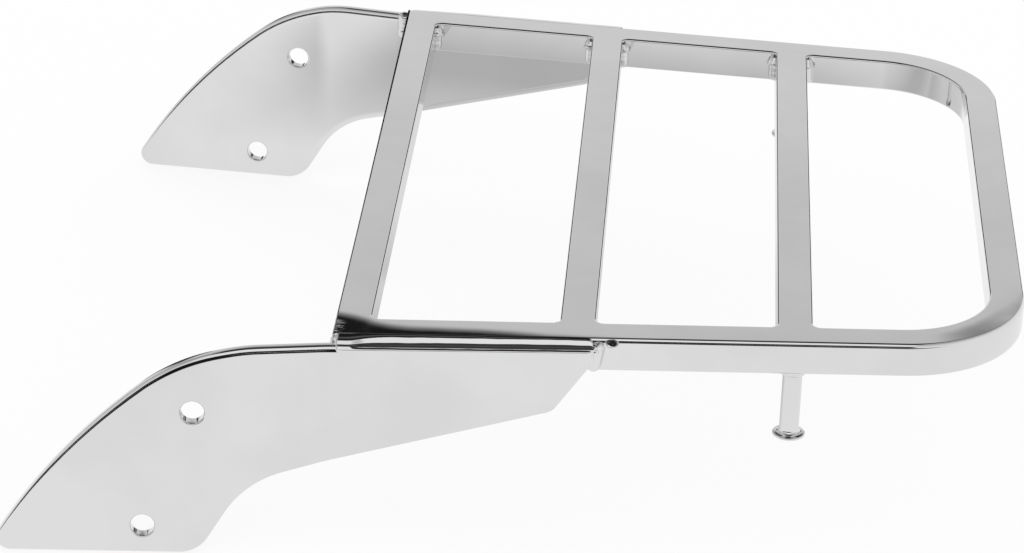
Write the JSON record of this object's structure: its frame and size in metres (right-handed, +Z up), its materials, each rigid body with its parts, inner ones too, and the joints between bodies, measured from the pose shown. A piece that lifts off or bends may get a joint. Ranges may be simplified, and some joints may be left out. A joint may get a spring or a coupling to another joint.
{
  "type": "motorcycle luggage rack",
  "caption": "Solo luggage rack: tapering frame of bent square tube with crossbars, swept side plates with bolt holes, and pegs under the rails.",
  "frame": {"origin": "centre of the middle crossbar's top face", "axes": "+X rearwards along the rack, +Y to the rider's right, +Z up, square to the top face"},
  "size_m": [0.3632, 0.3476, 0.085],
  "materials": {
    "chrome": "mirror chrome plate over polished steel",
    "weld": "chrome plate over a rippled weld bead"
  },
  "bodies": {
    "root": {"outer_rail": "chrome", "front_crossbar": "chrome", "middle_crossbar": "chrome", "rear_crossbar": "chrome", "left_side_plate": "chrome", "right_side_plate": "chrome", "left_peg": "chrome", "right_peg": "chrome", "front_crossbar_left_weld": "weld", "front_crossbar_right_weld": "weld", "middle_crossbar_left_weld": "weld", "middle_crossbar_right_weld": "weld", "rear_crossbar_left_weld": "weld", "rear_crossbar_right_weld": "weld", "left_plate_corner_weld": "weld", "right_plate_corner_weld": "weld", "left_plate_seam_weld": "weld", "right_plate_seam_weld": "weld", "left_plate_tail_weld": "weld", "right_plate_tail_weld": "weld", "left_plate_stitch_welds": "weld", "right_plate_stitch_welds": "weld", "left_peg_weld": "weld", "right_peg_weld": "weld"}
  },
  "joints": []
}
